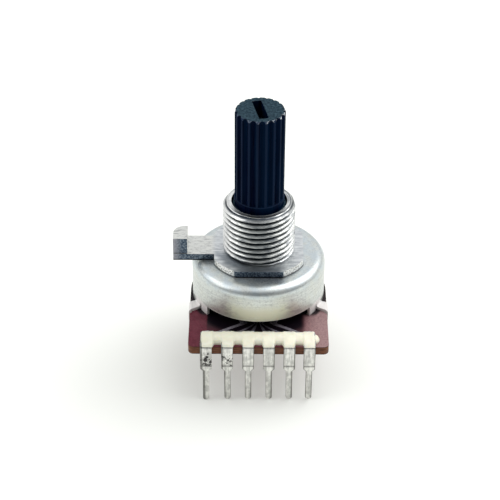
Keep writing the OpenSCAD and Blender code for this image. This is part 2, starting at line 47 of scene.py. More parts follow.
# Heights and sizes of the solids that the dressed forms and the materials are fitted to
WAFER_TOP = -6.95
PIN_TIP = -14.95
PIN_PITCH = 2.54
PIN_HALF = 0.4
HEAD_HALF = 0.72
COVER_R = 8.5
THREAD_R = 4.5
BORE_R = 3.5
BARREL_TOP = 7.0
BARREL_CHAMFER = 0.45
SHAFT_TOP = 20.0


# Camera, at the photograph's viewing angle

PHOTO_PX = 500
CAMERA_ELEVATION = math.radians(35.38)
CAMERA_AZIMUTH = math.radians(-0.079)
CAMERA_ROLL = math.radians(0.403)
CAMERA_DISTANCE = 194.73
CAMERA_TARGET = Vector((-1.118, 0, -0.683))
FOCAL_PX = 1523.55
SENSOR_MM = 36
CLIP_M = (0.005, 20)


def add_camera():
    data = bpy.data.cameras.new("camera")
    data.sensor_width = SENSOR_MM
    data.lens = FOCAL_PX * SENSOR_MM / PHOTO_PX
    data.clip_start, data.clip_end = CLIP_M
    camera = bpy.data.objects.new("camera", data)
    bpy.context.scene.collection.objects.link(camera)
    level = math.cos(CAMERA_ELEVATION)
    back = Vector((math.sin(CAMERA_AZIMUTH) * level, -math.cos(CAMERA_AZIMUTH) * level,
                   math.sin(CAMERA_ELEVATION)))
    right = Vector((math.cos(CAMERA_AZIMUTH), math.sin(CAMERA_AZIMUTH), 0))
    up = back.cross(right)
    rolled_right = right * math.cos(CAMERA_ROLL) + up * math.sin(CAMERA_ROLL)
    rolled_up = up * math.cos(CAMERA_ROLL) - right * math.sin(CAMERA_ROLL)
    place = (CAMERA_TARGET + back * CAMERA_DISTANCE) * MM
    turn = Matrix((rolled_right, rolled_up, back)).transposed().to_4x4()
    camera.matrix_world = Matrix.Translation(place) @ turn
    bpy.context.scene.camera = camera


# Shader nodes

def linear(r, g, b):
    """Linear colour of an sRGB colour written from 0 to 255."""
    shares = (c / 255 for c in (r, g, b))
    return tuple(c / 12.92 if c <= 0.04045 else ((c + 0.055) / 1.055) ** 2.4 for c in shares) + (1.0,)


class Nodes:
    """Short node chains in one tree. Each input is a plain value or the output of another node."""

    def __init__(self, tree):
        self.tree = tree

    def add(self, kind, inputs=None, **settings):
        node = self.tree.nodes.new(kind)
        for key, value in settings.items():
            setattr(node, key, value)
        for socket, value in (inputs or {}).items():
            self.feed(node.inputs[socket], value)
        return node

    def feed(self, socket, value):
        if isinstance(value, bpy.types.NodeSocket):
            self.tree.links.new(value, socket)
        else:
            socket.default_value = value

    def calc(self, operation, a, b=0.0):
        return self.add("ShaderNodeMath", {0: a, 1: b}, operation=operation).outputs[0]

    def product(self, first, *others):
        for factor in others:
            first = self.calc("MULTIPLY", first, factor)
        return first

    def unsigned(self, value):
        return self.calc("ABSOLUTE", value)

    def vector(self, operation, a, b=None, scale=None):
        inputs = {0: a}
        if b is not None:
            inputs[1] = b
        if scale is not None:
            inputs["Scale"] = scale
        node = self.add("ShaderNodeVectorMath", inputs, operation=operation)
        return node.outputs["Value" if operation in ("LENGTH", "DOT_PRODUCT") else "Vector"]

    def step(self, value, low, high, to_low=0.0, to_high=1.0):
        """Smooth step of value from low to high."""
        inputs = {0: value, 1: low, 2: high, 3: to_low, 4: to_high}
        return self.add("ShaderNodeMapRange", inputs, interpolation_type="SMOOTHSTEP").outputs[0]

    def band(self, value, rise, fall):
        """Mask that rises over one range of value and falls again over a higher one."""
        return self.product(self.step(value, *rise), self.step(value, *reversed(fall)))

    def mix(self, share, a, b):
        return self.add("ShaderNodeMix", {0: share, 6: a, 7: b}, data_type="RGBA").outputs[2]


class Look(Nodes):
    """A material on a Principled shader. Positions are in millimetres on the object."""

    def __init__(self, name, **constants):
        self.material = bpy.data.materials.new(name)
        self.material.use_nodes = True
        super().__init__(self.material.node_tree)
        self.shader = self.tree.nodes["Principled BSDF"]
        for socket, value in constants.items():
            self.set(socket.replace("_", " "), value)
        coordinates = self.add("ShaderNodeTexCoord")
        self.place = self.vector("SCALE", coordinates.outputs["Object"], scale=1 / MM)
        self.x, self.y, self.z = self.add("ShaderNodeSeparateXYZ", {0: self.place}).outputs
        split = self.add("ShaderNodeSeparateXYZ", {0: coordinates.outputs["Normal"]})
        self.facing_x, self.facing_y, self.facing_z = split.outputs
        # Distance from the middle plane and from the shaft's axis, and how upright the surface is
        self.wide = self.unsigned(self.x)
        self.out = self.vector("LENGTH", self.vector("MULTIPLY", self.place, (1, 1, 0)))
        self.upright = self.calc("SUBTRACT", 1.0, self.unsigned(self.facing_z))

    def set(self, socket, value):
        self.feed(next(s for s in self.shader.inputs if s.name.lower() == socket.lower()), value)

    def noise(self, scale, detail=3.0, rough=0.55, stretch=(1, 1, 1), place=None):
        """Noise of about 1/scale mm, drawn out along an axis where stretch is small."""
        at = self.vector("MULTIPLY", place or self.place, stretch)
        inputs = {"Vector": at, "Scale": scale, "Detail": detail, "Roughness": rough}
        return self.add("ShaderNodeTexNoise", inputs).outputs[0]

    def blend(self, first, second, share):
        """Sum of two noises, with the first one's share."""
        return self.calc("ADD", self.calc("MULTIPLY", first, share),
                         self.calc("MULTIPLY", second, 1 - share))

    def round_place(self, radius):
        """Place on a cylinder round the shaft axis: length round it, distance from it and height."""
        angle = self.calc("ARCTAN2", self.y, self.x)
        inputs = {0: self.calc("MULTIPLY", angle, radius), 1: self.out, 2: self.z}
        return self.add("ShaderNodeCombineXYZ", inputs).outputs[0]

    def bump(self, height, depth, strength=0.5):
        """Adds relief of that depth in millimetres over what is there already."""
        inputs = {"Height": height, "Distance": depth * MM, "Strength": strength}
        before = self.shader.inputs["Normal"].links
        if before:
            inputs["Normal"] = before[0].from_socket
        self.set("Normal", self.add("ShaderNodeBump", inputs).outputs[0])


# Materials

# Radii between which the teeth's crests begin, and the height where the teeth end at the neck
KNURL_CREST = (3.03, 3.085)
KNURL_FOOT = 7.7
# Radii between which the thread's grooves are painted dark as shade, radius just outside the whole barrel,
# and radius of the ring that is stamped in its end
GROOVE_SHADE = (4.46, 4.16)
BARREL_CLEAR = 4.7
STAMPED_R = 3.93
# Side of the axis where the arm begins, and height of the painted contact shadow at the flange's foot
ARM_ROOT = -5.3
FLANGE_SHADOW_LINE = -0.74
# Cover: height where its legs leave the wall
LEGS_TOP = -5.4


def shaft_plastic():
    look = Look("shaft_plastic", specular_ior_level=0.01)
    crest_highlight = linear(40, 54, 78)
    up = look.step(look.facing_z, 0.75, 0.95)
    mottle = look.noise(3.5, 4, 0.65)
    drawn = look.noise(5, 3, 0.6, stretch=(1, 1, 0.08))
    broad = look.noise(0.9, 2, 0.5, stretch=(1, 1, 0.05))
    body = look.mix(look.step(drawn, 0.3, 0.7), linear(0, 3, 20), linear(3, 14, 40))
    body = look.mix(look.step(broad, 0.42, 0.6, 0.0, 0.8), body, linear(2, 24, 48))
    # Painted highlight on the crests of the teeth, and a painted highlight on their chamfered tips, pale
    # where the key lamp meets them
    crest = look.product(look.step(look.out, *KNURL_CREST), look.step(look.z, KNURL_FOOT, KNURL_FOOT + 0.1))
    body = look.mix(look.calc("MULTIPLY", crest, 0.42), body, crest_highlight)
    tip = look.mix(look.step(look.facing_x, 0.1, 0.5), linear(112, 122, 138), linear(224, 230, 234))
    tip = look.mix(look.step(look.noise(2.2, 2), 0.42, 0.58), tip, crest_highlight)
    tipped = look.product(look.step(look.facing_z, 0.12, 0.3),
                          look.step(look.z, SHAFT_TOP - 0.5, SHAFT_TOP - 0.3))
    body = look.mix(look.calc("MULTIPLY", tipped, 0.9), body, tip)
    # Up-facing end face painted paler: partly its mottled moulded face, partly a painted reflection of the
    # room above
    end = look.mix(look.step(mottle, 0.35, 0.68), linear(30, 44, 54), linear(58, 78, 88))
    look.set("Base Color", look.mix(up, body, end))
    look.set("Roughness", look.calc("ADD", look.calc("MULTIPLY", up, 0.25),
                                    look.step(mottle, 0.2, 0.8, 0.24, 0.38)))
    look.bump(drawn, 0.012)
    look.bump(look.noise(9, 3, 0.6), 0.008)
    return look.material


def thread_shade(look, around):
    """Colour of the barrel: bright crests over grooves painted dark as shade."""
    crest = look.mix(look.step(around, 0.32, 0.66), linear(146, 150, 154), linear(244, 245, 241))
    stamped = look.product(look.step(look.unsigned(look.calc("SUBTRACT", look.out, STAMPED_R)), 0.13, 0.04),
                           look.step(look.z, BARREL_TOP - 0.3, BARREL_TOP - 0.2))
    crest = look.mix(look.calc("MULTIPLY", stamped, 0.7), crest, linear(60, 66, 76))
    # Painted dark reflection of the stander in front, and a painted highlight at the left
    painted_darkening = look.product(look.step(look.wide, 3.0, 0.6), look.step(look.y, -2.6, -3.8))
    crest = look.mix(look.calc("MULTIPLY", painted_darkening, 0.5), crest, linear(84, 92, 98))
    crest = look.mix(look.step(look.x, -2.2, -3.8, 0, 0.6), crest, linear(250, 250, 248))
    # Painted shade down in the thread's grooves
    flux_and_groove_shade = look.product(look.step(look.out, *GROOVE_SHADE),
                        look.step(look.z, BARREL_TOP - 0.04, BARREL_TOP - 0.15))
    return look.mix(flux_and_groove_shade, crest, linear(54, 60, 68))


def cast_zinc():
    look = Look("die_cast_zinc", metallic=1.0)
    flow = look.noise(1.5, 4, 0.6, stretch=(0.4, 1.4, 1.4))
    scratch = look.noise(5, 3, 0.6, stretch=(0.12, 1, 1))
    streak = look.step(look.blend(flow, scratch, 0.6), 0.38, 0.62)
    shade = look.mix(streak, linear(178, 182, 186), linear(222, 225, 226))
    # Arm, paler, with fine scratches along it
    arm = look.step(look.x, ARM_ROOT, ARM_ROOT - 0.9)
    shade = look.mix(arm, shade, linear(218, 219, 215))
    fine = look.noise(6, 4, 0.7, stretch=(0.14, 1, 1))
    scratched = look.product(arm, look.step(look.unsigned(look.facing_x), 0.7, 0.3),
                             look.step(fine, 0.5, 0.36, 0, 0.75))
    shade = look.mix(scratched, shade, linear(128, 128, 132))
    # Flange painted darker: a painted reflection of the barrel's dark front in front of it, and painted
    # shade round the left of its foot
    before = look.product(look.step(look.wide, 3.3, 2.2), look.step(look.y, -4.3, -5.0))
    foot_shade = look.product(look.step(look.out, 6.1, 5.3), look.step(look.y, -0.5, -2.5),
                        look.step(look.x, -0.5, -2.0))
    painted_darkening = look.calc("MAXIMUM", before, foot_shade)
    shade = look.mix(look.calc("MULTIPLY", painted_darkening, 0.6), shade, linear(112, 122, 134))
    # Threaded barrel
    barrel = look.product(look.step(look.z, 0.02, 0.1),
                          look.step(look.out, BARREL_CLEAR + 0.05, BARREL_CLEAR - 0.05))
    around = look.noise(2.4, 5, 0.7, stretch=(0.3, 1, 1.4), place=look.round_place(THREAD_R))
    shade = look.mix(barrel, shade, thread_shade(look, around))
    # Painted shade on the faces of the flange, arm and lug that look to the front
    front = look.step(look.calc("MULTIPLY", look.facing_y, -1), 0.93, 0.985)
    low = look.calc("MAXIMUM", look.step(look.z, 0.05, 0.0), look.step(look.x, -5, -6))
    speck = look.noise(5, 3, 0.6)
    front_shade = look.mix(look.step(speck, 0.4, 0.62), linear(54, 68, 84), linear(116, 128, 140))
    front_shade = look.mix(look.step(look.x, -9.6, -11), front_shade, linear(150, 150, 158))
    shade = look.mix(look.calc("MULTIPLY", front, low), shade, front_shade)
    # Painted highlight on the rounded sides of the flange, paler and less metallic
    bright_sides = look.product(look.step(look.unsigned(look.facing_x), 0.3, 0.5), look.step(look.z, 0.03, -0.05),
                           look.step(look.y, -2.8, -3.4))
    pale = look.mix(look.step(speck, 0.42, 0.5), linear(178, 176, 170), linear(250, 250, 246))
    shade = look.mix(bright_sides, shade, pale)
    # Painted contact shadow where the flange and the arm meet what is under them
    contact_shadow = look.product(look.step(look.z, FLANGE_SHADOW_LINE, FLANGE_SHADOW_LINE - 0.1),
                        look.step(look.upright, 0.2, 0.6))
    look.set("Base Color", look.mix(look.calc("MULTIPLY", contact_shadow, 0.92), shade, linear(12, 16, 24)))
    look.set("Metallic", look.calc("SUBTRACT", 1.0, look.calc("MULTIPLY", bright_sides, 0.75)))
    look.set("Roughness", look.mix(barrel, look.step(streak, 0, 1, 0.44, 0.34),
                                   look.step(around, 0.3, 0.65, 0.48, 0.27)))
    look.bump(flow, 0.02)
    look.bump(scratch, 0.012, look.calc("SUBTRACT", 0.5, look.calc("MULTIPLY", barrel, 0.5)))
    look.bump(look.calc("MULTIPLY", around, barrel), 0.035)
    return look.material


def plated_steel():
    look = Look("plated_steel", metallic=0.85)
    streak = look.noise(2.2, 4, 0.6, stretch=(0.12, 1, 3.4), place=look.round_place(COVER_R))
    cloud = look.noise(0.5, 3, 0.6)
    fleck = look.noise(4, 4, 0.7)
    shade = look.mix(look.step(streak, 0.3, 0.7), linear(198, 202, 200), linear(218, 222, 218))
    shade = look.mix(look.step(cloud, 0.4, 0.7, 0.0, 0.4), shade, linear(214, 214, 202))
    shade = look.mix(look.step(fleck, 0.47, 0.66, 0.0, 0.6), shade, linear(164, 168, 168))
    # Warm band low on the front
    patch = look.noise(0.9, 3, 0.6)
    warm = look.product(look.step(look.z, -2.8, -4.4), look.step(look.wide, 6.8, 2.5),
                        look.step(patch, 0.25, 0.6, 0.5, 1.0), look.step(look.y, -3, -5))
    shade = look.mix(warm, shade, linear(206, 205, 190))
    # Soft blotches on the wall at both sides of the window
    blotch = look.step(look.noise(1.1, 3, 0.6, stretch=(0.7, 1, 1.6)), 0.47, 0.6)
    blotch = look.product(blotch, look.band(look.wide, (2.2, 3.4), (5.3, 6.2)),
                          look.band(look.z, (-6.0, -5.2), (-3.8, -3.0)), look.step(look.y, -3.5, -5.5))
    shade = look.mix(look.calc("MULTIPLY", blotch, 0.36), shade, linear(138, 132, 140))
    # Top painted cooler as a patchy reflection of the flange and barrel, with a darker mottled patch of
    # painted shade and reflection in front of the flange's flat
    cool_reflection = look.product(look.step(look.z, -2.6, -1.6), look.step(patch, 0.35, 0.65, 0.1, 0.6))
    shade = look.mix(cool_reflection, shade, linear(192, 204, 212))
    flange_foot_shade = look.product(look.step(look.unsigned(look.calc("SUBTRACT", look.x, 0.9)), 3.4, 0.9),
                         look.band(look.y, (-7.4, -6.4), (-5.7, -5.3)), look.step(look.facing_z, 0.6, 0.85),
                         look.step(fleck, 0.34, 0.66, 0.35, 0.7))
    shade = look.mix(flange_foot_shade, shade, linear(74, 84, 100))
    # Legs and folded tabs at the front, duller than the drawn wall
    legs = look.product(look.step(look.z, LEGS_TOP, LEGS_TOP - 0.5), look.step(look.y, -2.2, -3.6))
    look.set("Base Color", look.mix(look.calc("MULTIPLY", legs, 0.8), shade, linear(240, 234, 232)))
    look.set("Metallic", look.calc("SUBTRACT", 0.85, look.calc("MULTIPLY", legs, 0.6)))
    look.set("Roughness", look.calc("ADD", look.step(streak, 0.25, 0.75, 0.42, 0.30),
                                    look.calc("MULTIPLY", legs, 0.2)))
    look.bump(streak, 0.012, 0.35)
    look.bump(fleck, 0.008)
    return look.material


def phenolic():
    look = Look("phenolic", specular_ior_level=0.16)
    fibre = look.noise(4, 4, 0.65)
    cloud = look.noise(0.45, 2)
    face = look.mix(look.step(fibre, 0.3, 0.72), linear(76, 24, 38), linear(104, 42, 56))
    face = look.mix(look.step(cloud, 0.35, 0.65, 0.0, 0.4), face, linear(112, 56, 68))
    # Greyer towards the right: painted sheen of the key lamp
    right_sheen = look.product(look.step(look.x, 3.5, 8.0), look.step(fibre, 0.2, 0.6, 0.5, 1.0))
    face = look.mix(look.calc("MULTIPLY", right_sheen, 0.68), face, linear(176, 148, 146))
    # Painted shade of the cup on the wafer in front of it, and black that is partly carbon print between the
    # leads and partly painted shadow at the cup's foot and round its rim
    top = look.step(look.facing_z, 0.4, 0.8)
    window = look.product(look.band(look.x, (-6.65, -6.35), (5.3, 6.1)),
                          look.band(look.y, (-9.9, -9.2), (-5.0, -4.0)), top)
    face = look.mix(look.calc("MULTIPLY", window, 0.8), face, linear(56, 20, 32))
    rim_shadow = look.product(look.step(look.out, 9.3, 8.9), look.step(look.y, -6.0, -5.0), top)
    ink_and_shadow = look.calc("MAXIMUM", look.step(look.out, 10.6, 9.2), look.step(look.wide, 4.9, 3.6))
    ink_and_shadow = look.calc("MAXIMUM", rim_shadow, look.calc("MULTIPLY", ink_and_shadow, window))
    face = look.mix(look.calc("MULTIPLY", ink_and_shadow, 0.96), face, linear(8, 7, 14))
    # Cut edge, darker along its upper and lower corners
    layers = look.noise(2.4, 3, 0.6, stretch=(0.35, 0.35, 5))
    edge = look.mix(look.step(layers, 0.3, 0.7), linear(80, 46, 30), linear(142, 92, 64))
    lines = look.calc("MAXIMUM", look.step(look.z, -7.14, -6.98), look.step(look.z, -7.96, -8.08))
    edge = look.mix(look.calc("MULTIPLY", lines, 0.75), edge, linear(44, 26, 18))
    cut = look.step(look.upright, 0.4, 0.8)
    look.set("Base Color", look.mix(cut, face, edge))
    look.set("Roughness", look.step(fibre, 0.2, 0.8, 0.28, 0.42))
    look.bump(fibre, 0.01)
    look.bump(look.calc("MULTIPLY", layers, cut), 0.06, 0.6)
    return look.material


def resin():
    look = Look("resin", subsurface_weight=0.25, subsurface_scale=0.5 * MM,
                subsurface_radius=(1.0, 0.7, 0.4))
    cloud = look.noise(1.1, 4, 0.6)
    speck = look.noise(5, 3, 0.7)
    # Darker towards the left and paler towards the right: painted light from the key lamp's side
    warm = look.mix(look.step(look.x, -7, 6), linear(226, 225, 206), linear(246, 242, 222))
    shade = look.mix(look.step(cloud, 0.3, 0.7, 0.25, 0.0), warm, linear(206, 202, 176))
    # Brownish painted shade low on the resin, where it ends on the wafer
    shaded_foot = look.step(look.calc("ADD", look.z, look.calc("MULTIPLY", speck, 0.12)), -6.72, -6.86)
    look.set("Base Color", look.mix(look.calc("MULTIPLY", shaded_foot, 0.3), shade, linear(150, 126, 92)))
    look.set("Roughness", look.step(speck, 0.3, 0.7, 0.30, 0.5))
    look.bump(look.noise(1.8, 3, 0.55), 0.04, 0.4)
    look.bump(speck, 0.03)
    return look.material


def tinned_metal():
    look = Look("tinned_metal", metallic=0.9)
    mottle = look.noise(1.6, 4, 0.6)
    drawn = look.noise(2.4, 3, 0.6, stretch=(1.6, 1.6, 0.2))
    both = look.blend(mottle, drawn, 0.5)
    shade = look.mix(look.step(both, 0.36, 0.64), linear(184, 184, 180), linear(236, 235, 230))
    # Painted shade along the edges: distance from the nearest pin's middle against the half width at that
    # height
    off = look.calc("MULTIPLY", look.calc("FRACT", look.calc("DIVIDE", look.x, PIN_PITCH)), PIN_PITCH)
    off = look.unsigned(look.calc("SUBTRACT", off, PIN_PITCH / 2))
    half = look.step(look.z, -10.55, -10.1, PIN_HALF, HEAD_HALF)
    near_shade = look.step(look.calc("SUBTRACT", half, off), 0.16, 0.05)
    shade = look.mix(look.calc("MULTIPLY", near_shade, 0.75), shade, linear(92, 92, 88))
    # Flattened shoulder, marked across by the tool
    groove = look.band(look.z, (-9.85, -9.75), (-9.62, -9.5))
    shade = look.mix(look.calc("MULTIPLY", groove, 0.6), shade, linear(96, 96, 94))
    # Black specks of flux on the two terminals at the left, above their shoulders
    flux = look.noise(2.8, 3, 0.7, place=look.vector("ADD", look.place, (4.2, 0, 1.3)))
    flux = look.calc("ADD", flux, look.step(look.x, -5, -5.5, 0, 0.05))
    flux_and_groove_shade = look.product(look.step(flux, 0.54, 0.6), look.step(look.x, -3.0, -3.3),
                        look.band(look.z, (-9.9, -9.5), (-7.8, -7.4)))
    look.set("Base Color", look.mix(flux_and_groove_shade, shade, linear(34, 30, 28)))
    look.set("Metallic", look.calc("SUBTRACT", 0.9, look.calc("MULTIPLY", flux_and_groove_shade, 0.9)))
    look.set("Roughness", look.step(both, 0.36, 0.64, 0.5, 0.36))
    look.bump(mottle, 0.03)
    look.bump(drawn, 0.012)
    return look.material


def printed_track():
    look = Look("printed_track")
    grain = look.noise(6, 4, 0.7)
    shade = look.mix(look.step(grain, 0.3, 0.7), linear(84, 80, 88), linear(132, 126, 134))
    # Leads darker near the middle: partly carbon, partly painted shadow under the cup's front
    inner = look.step(look.wide, 2.6, 1.2)
    look.set("Base Color", look.mix(look.calc("MULTIPLY", inner, 0.7), shade, linear(26, 26, 36)))
    look.set("Roughness", look.step(grain, 0.2, 0.8, 0.25, 0.45))
    look.bump(grain, 0.01)
    return look.material


def moulded(name, dark, light, roughness):
    look = Look(name)
    cloud = look.noise(1.2, 3, 0.6)
    look.set("Base Color", look.mix(look.step(cloud, 0.3, 0.7), dark, light))
    look.set("Roughness", look.step(look.noise(5, 3), 0.2, 0.8, roughness - 0.08, roughness + 0.08))
    look.bump(look.noise(8, 3), 0.01)
    return look.material


def spring_metal():
    look = Look("spring_metal", metallic=1.0)
    drawn = look.noise(5, 3, 0.6, stretch=(0.2, 1, 1))
    look.set("Base Color", look.mix(look.step(drawn, 0.3, 0.7), linear(186, 150, 84),
                                    linear(222, 190, 120)))
    look.set("Roughness", look.step(drawn, 0.2, 0.8, 0.22, 0.34))
    return look.material


MATERIALS = {
    "shaft_plastic": shaft_plastic(),
    "rotor_plastic": moulded("rotor_plastic", linear(96, 78, 56), linear(122, 102, 76), 0.5),
    "spring_metal": spring_metal(),
    "washer_plastic": moulded("washer_plastic", linear(205, 199, 182), linear(222, 217, 202), 0.45),
    "die_cast_zinc": cast_zinc(),
    "plated_steel": plated_steel(),
    "phenolic": phenolic(),
    "tinned_metal": tinned_metal(),
    "resin": resin(),
    "printed_track": printed_track(),
}


def dress_nodes():
    """Gives each CAD node the material of its slot."""
    for node in NODES.values():
        for place in node.material_slots:
            slot = place.material.name.split(".")[0]
            place.material = MATERIALS[slot]


# Mesh tools

# Least angle of an edge that is rounded, and of one that a modifier bevels
ROUNDED_ANGLE = math.radians(30)
BEVELLED_ANGLE = math.radians(32)
# Distance within which the split vertices of a CAD mesh are one, and bend that a flat face may keep
JOINED_WITHIN = 0.0005
FLAT_WITHIN = math.radians(0.3)


def new_piece(name, bm, slot, body, *nodes):
    """Makes a piece of the bmesh, in millimetres, that rides on a body and stands for CAD nodes."""
    bmesh.ops.recalc_face_normals(bm, faces=bm.faces)
    bmesh.ops.scale(bm, vec=(MM, MM, MM), verts=bm.verts)
    mesh = bpy.data.meshes.new(name)
    bm.to_mesh(mesh)
    bm.free()
    mesh.materials.append(MATERIALS[slot])
    piece = bpy.data.objects.new(name, mesh)
    bpy.context.scene.collection.objects.link(piece)
    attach(piece, body)
    if nodes:
        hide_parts(*nodes)
    return piece


def node_bmesh(node):
    """The node's mesh in millimetres, with its split vertices joined and its flat faces whole."""
    bm = bmesh.new()
    bm.from_mesh(NODES[node].data)
    bmesh.ops.scale(bm, vec=(1 / MM, 1 / MM, 1 / MM), verts=bm.verts)
    bmesh.ops.remove_doubles(bm, verts=bm.verts, dist=JOINED_WITHIN)
    bmesh.ops.dissolve_limit(bm, angle_limit=FLAT_WITHIN, verts=bm.verts, edges=bm.edges)
    return bm


def round_edges(bm, width, segments=2):
    """Rounds the sharp edges."""
    sharp = [e for e in bm.edges if e.is_manifold and e.calc_face_angle(0) > ROUNDED_ANGLE]
    bmesh.ops.bevel(bm, geom=sharp, offset=width, segments=segments, profile=0.5, affect="EDGES",
                    clamp_overlap=True)


def smooth(piece, angle):
    """Shades the piece smooth across the edges that turn by less than the angle, in degrees."""
    piece.data.shade_smooth()
    piece.data.set_sharp_from_angle(angle=math.radians(angle))


def soften(node, width):
    """Bevels the node's sharp edges without a change to its mesh."""
    weld = node.modifiers.new("weld", "WELD")
    weld.merge_threshold = 0.001 * MM
    bevel = node.modifiers.new("edges", "BEVEL")
    bevel.width = width * MM
    bevel.segments = 2
    bevel.limit_method = "ANGLE"
    bevel.angle_limit = BEVELLED_ANGLE
    bevel.harden_normals = False
    normals = node.modifiers.new("normals", "WEIGHTED_NORMAL")
    normals.keep_sharp = False


def eased(value, low, high):
    """Smooth step of value from low to high."""
    share = min(max((value - low) / (high - low), 0), 1)
    return share * share * (3 - 2 * share)


# Threaded bushing

THREAD_PITCH = 0.75
THREAD_DEPTH = 0.52
THREAD_CREST = 0.2
THREAD_ROOT = 0.04
THREAD_ROWS = 16
THREAD_COLUMNS = 160
THREAD_FOOT = -0.2
THREAD_WEAR = 0.05
THREAD_SWELL = 0.05
# How far the thread's tube stands off the bore, and the CAD barrel that it hides
TUBE_OFF_BORE = 0.03
BARREL_OFF_BORE = 0.06
# The lug's back corner, rounder than the file's: its radius there and how much it grows
LUG_CORNER = 1.1
LUG_CORNER_GROWTH = 1.35
CASTING_EDGE = 0.1
NEAR = 0.01


def thread_depth(turn):
    """Depth of the thread below its major radius at a share of one pitch, from 0 at the crest's middle."""
    off = abs(turn - round(turn)) * 2
    share = min(max((off - THREAD_CREST) / (1 - THREAD_CREST - THREAD_ROOT), 0), 1)
    return THREAD_DEPTH * share


def round_unit(j):
    """Unit vector from the axis to column j of the thread."""
    angle = 2 * math.pi * j / THREAD_COLUMNS
    return Vector((math.cos(angle), math.sin(angle), 0))


def add_thread(bm):
    """Adds the barrel as a closed tube with the helical thread outside and the bore's wall inside."""
    low, high = THREAD_FOOT, BARREL_TOP - NEAR
    rows = int((high - low) / THREAD_PITCH * THREAD_ROWS) + 2 * THREAD_ROWS
    outer = []
    for j in range(THREAD_COLUMNS):
        share = j / THREAD_COLUMNS
        unit = round_unit(j)
        column = []
        for k in range(rows + 1):
            z = low + THREAD_PITCH * (k / THREAD_ROWS - 1 + share)
            z = min(max(z, low), high)
            r = THREAD_R + THREAD_SWELL - thread_depth(z / THREAD_PITCH - share)
            r = min(r, THREAD_R - BARREL_CHAMFER + max(high - z, 0))
            r += THREAD_WEAR * (noise.noise(unit * THREAD_R * 1.3 + Vector((0, 0, z * 1.3))) - 0.2)
            column.append(bm.verts.new(unit * r + Vector((0, 0, z))))
        outer.append(column)
    inner = []
    for j in range(THREAD_COLUMNS):
        wall = round_unit(j) * (BORE_R + TUBE_OFF_BORE)
        inner.append([bm.verts.new(wall + Vector((0, 0, z))) for z in (low, high)])
    faces = []
    for j in range(THREAD_COLUMNS):
        here, there = outer[j], outer[(j + 1) % THREAD_COLUMNS]
        # The last column meets the first one a whole pitch higher
        shift = THREAD_ROWS if j == THREAD_COLUMNS - 1 else 0
        for k in range(rows - shift):
            faces.append((here[k], there[k + shift], there[k + 1 + shift], here[k + 1]))
        for k in range(shift):
            faces.append((here[0], there[k], there[k + 1]))
            faces.append((here[rows - shift + k], there[rows], here[rows - shift + k + 1]))
        a, b = inner[j], inner[(j + 1) % THREAD_COLUMNS]
        faces.append((a[0], a[1], b[1], b[0]))
        faces.append((here[0], a[0], b[0], there[0]))
        faces.append((here[-1], there[-1], b[1], a[1]))
    for corners in faces:
        bm.faces.new(corners)
    bmesh.ops.remove_doubles(bm, verts=[v for column in outer for v in column], dist=0.0002)


def round_lug(bm):
    """Grows the round of the lug's back corner, about the corner that it rounds."""
    left = min(v.co.x for v in bm.verts)
    back = max(v.co.y for v in bm.verts if v.co.x < left + 2 * LUG_CORNER and v.co.z > 0.5)
    reach = LUG_CORNER + NEAR
    for v in bm.verts:
        if v.co.x < left + reach and back - reach < v.co.y < back + NEAR and v.co.z > -NEAR:
            v.co.x = left + (v.co.x - left) * LUG_CORNER_GROWTH
            v.co.y = back + (v.co.y - back) * LUG_CORNER_GROWTH


def make_bushing():
    """The die-casting with its edges rounded and its smooth barrel drawn inside the threaded one."""
    bm = node_bmesh("bushing")
    round_lug(bm)
    for v in bm.verts:
        r = math.hypot(v.co.x, v.co.y)
        if v.co.z > -NEAR and BORE_R + 0.1 < r < THREAD_R + 0.1:
            v.co.x *= (BORE_R + BARREL_OFF_BORE) / r
            v.co.y *= (BORE_R + BARREL_OFF_BORE) / r
    round_edges(bm, CASTING_EDGE)
    add_thread(bm)
    piece = new_piece("threaded_bushing", bm, "die_cast_zinc", "housing", "bushing")
    smooth(piece, 35)
    # Flat faces stay flat beside their rounded edges
    normals = piece.modifiers.new("normals", "WEIGHTED_NORMAL")
    normals.keep_sharp = True


# Resin

# Profiles between and on the heads, rear foot to front foot, as distance in front of the axis and height
RESIN_GAP = ((9.35, -6.97), (9.38, -6.72), (9.55, -6.44), (9.9, -6.26), (10.5, -6.16), (11.0, -6.24),
             (11.3, -6.42), (11.48, -6.68), (11.54, -6.97))
RESIN_HEAD = ((9.26, -6.97), (9.28, -6.66), (9.5, -6.36), (9.9, -6.17), (10.5, -6.08), (11.1, -6.14),
              (11.7, -6.3), (12.15, -6.44), (12.42, -6.62))
RESIN_MIDDLE = 10.5
RESIN_FOOT = WAFER_TOP - 0.02
RESIN_ENDS = (-7.27, 7.12)
RESIN_END_ROUND = 0.3
RESIN_STEPS = 150
RESIN_SMOOTH = 5
# Short run of resin at the right end
RUN_PLACE = Vector((6.9, -10.55, -6.88))
RUN_RADII = Vector((0.72, 0.85, 0.6))


def between(a, b, share):
    """Point between two points of a profile."""
    return [a[n] * (1 - share) + b[n] * share for n in (0, 1)]


